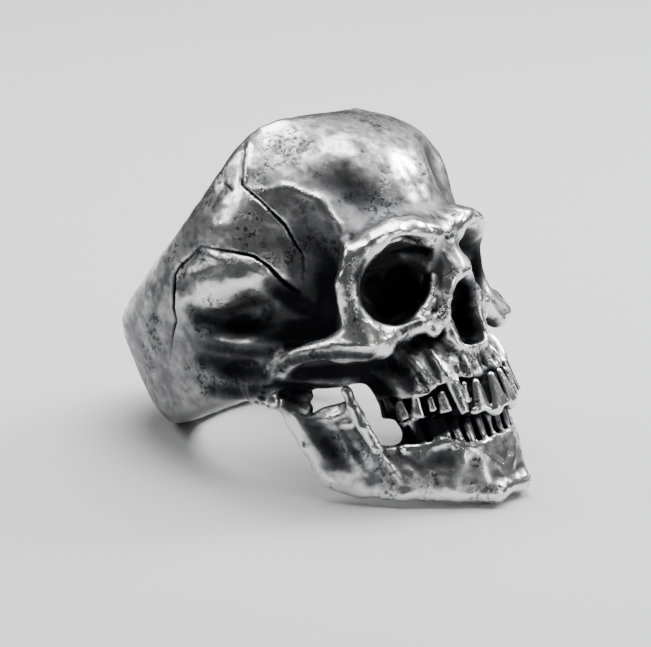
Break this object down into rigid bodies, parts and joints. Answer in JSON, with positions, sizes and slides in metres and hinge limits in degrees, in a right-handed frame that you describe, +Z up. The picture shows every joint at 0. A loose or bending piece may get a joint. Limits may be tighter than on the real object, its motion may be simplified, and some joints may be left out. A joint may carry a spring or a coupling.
{
  "type": "skull ring",
  "caption": "Finger ring cast as a skull with its lower jaw, whose vault runs back into a wide band round an open finger hole.",
  "frame": {"origin": "under the middle of the ring's box, on the surface that it lies on", "axes": "+Z up, the skull's face looks along -Y and a little up, +X to the skull's left"},
  "size_m": [0.0262, 0.0348, 0.0268],
  "materials": {
    "antique_silver": "oxidised silver, near black in the recesses, mottled grey on the flanks and polished on the high places"
  },
  "bodies": {
    "root": {"skull_ring": "antique_silver"}
  },
  "joints": []
}
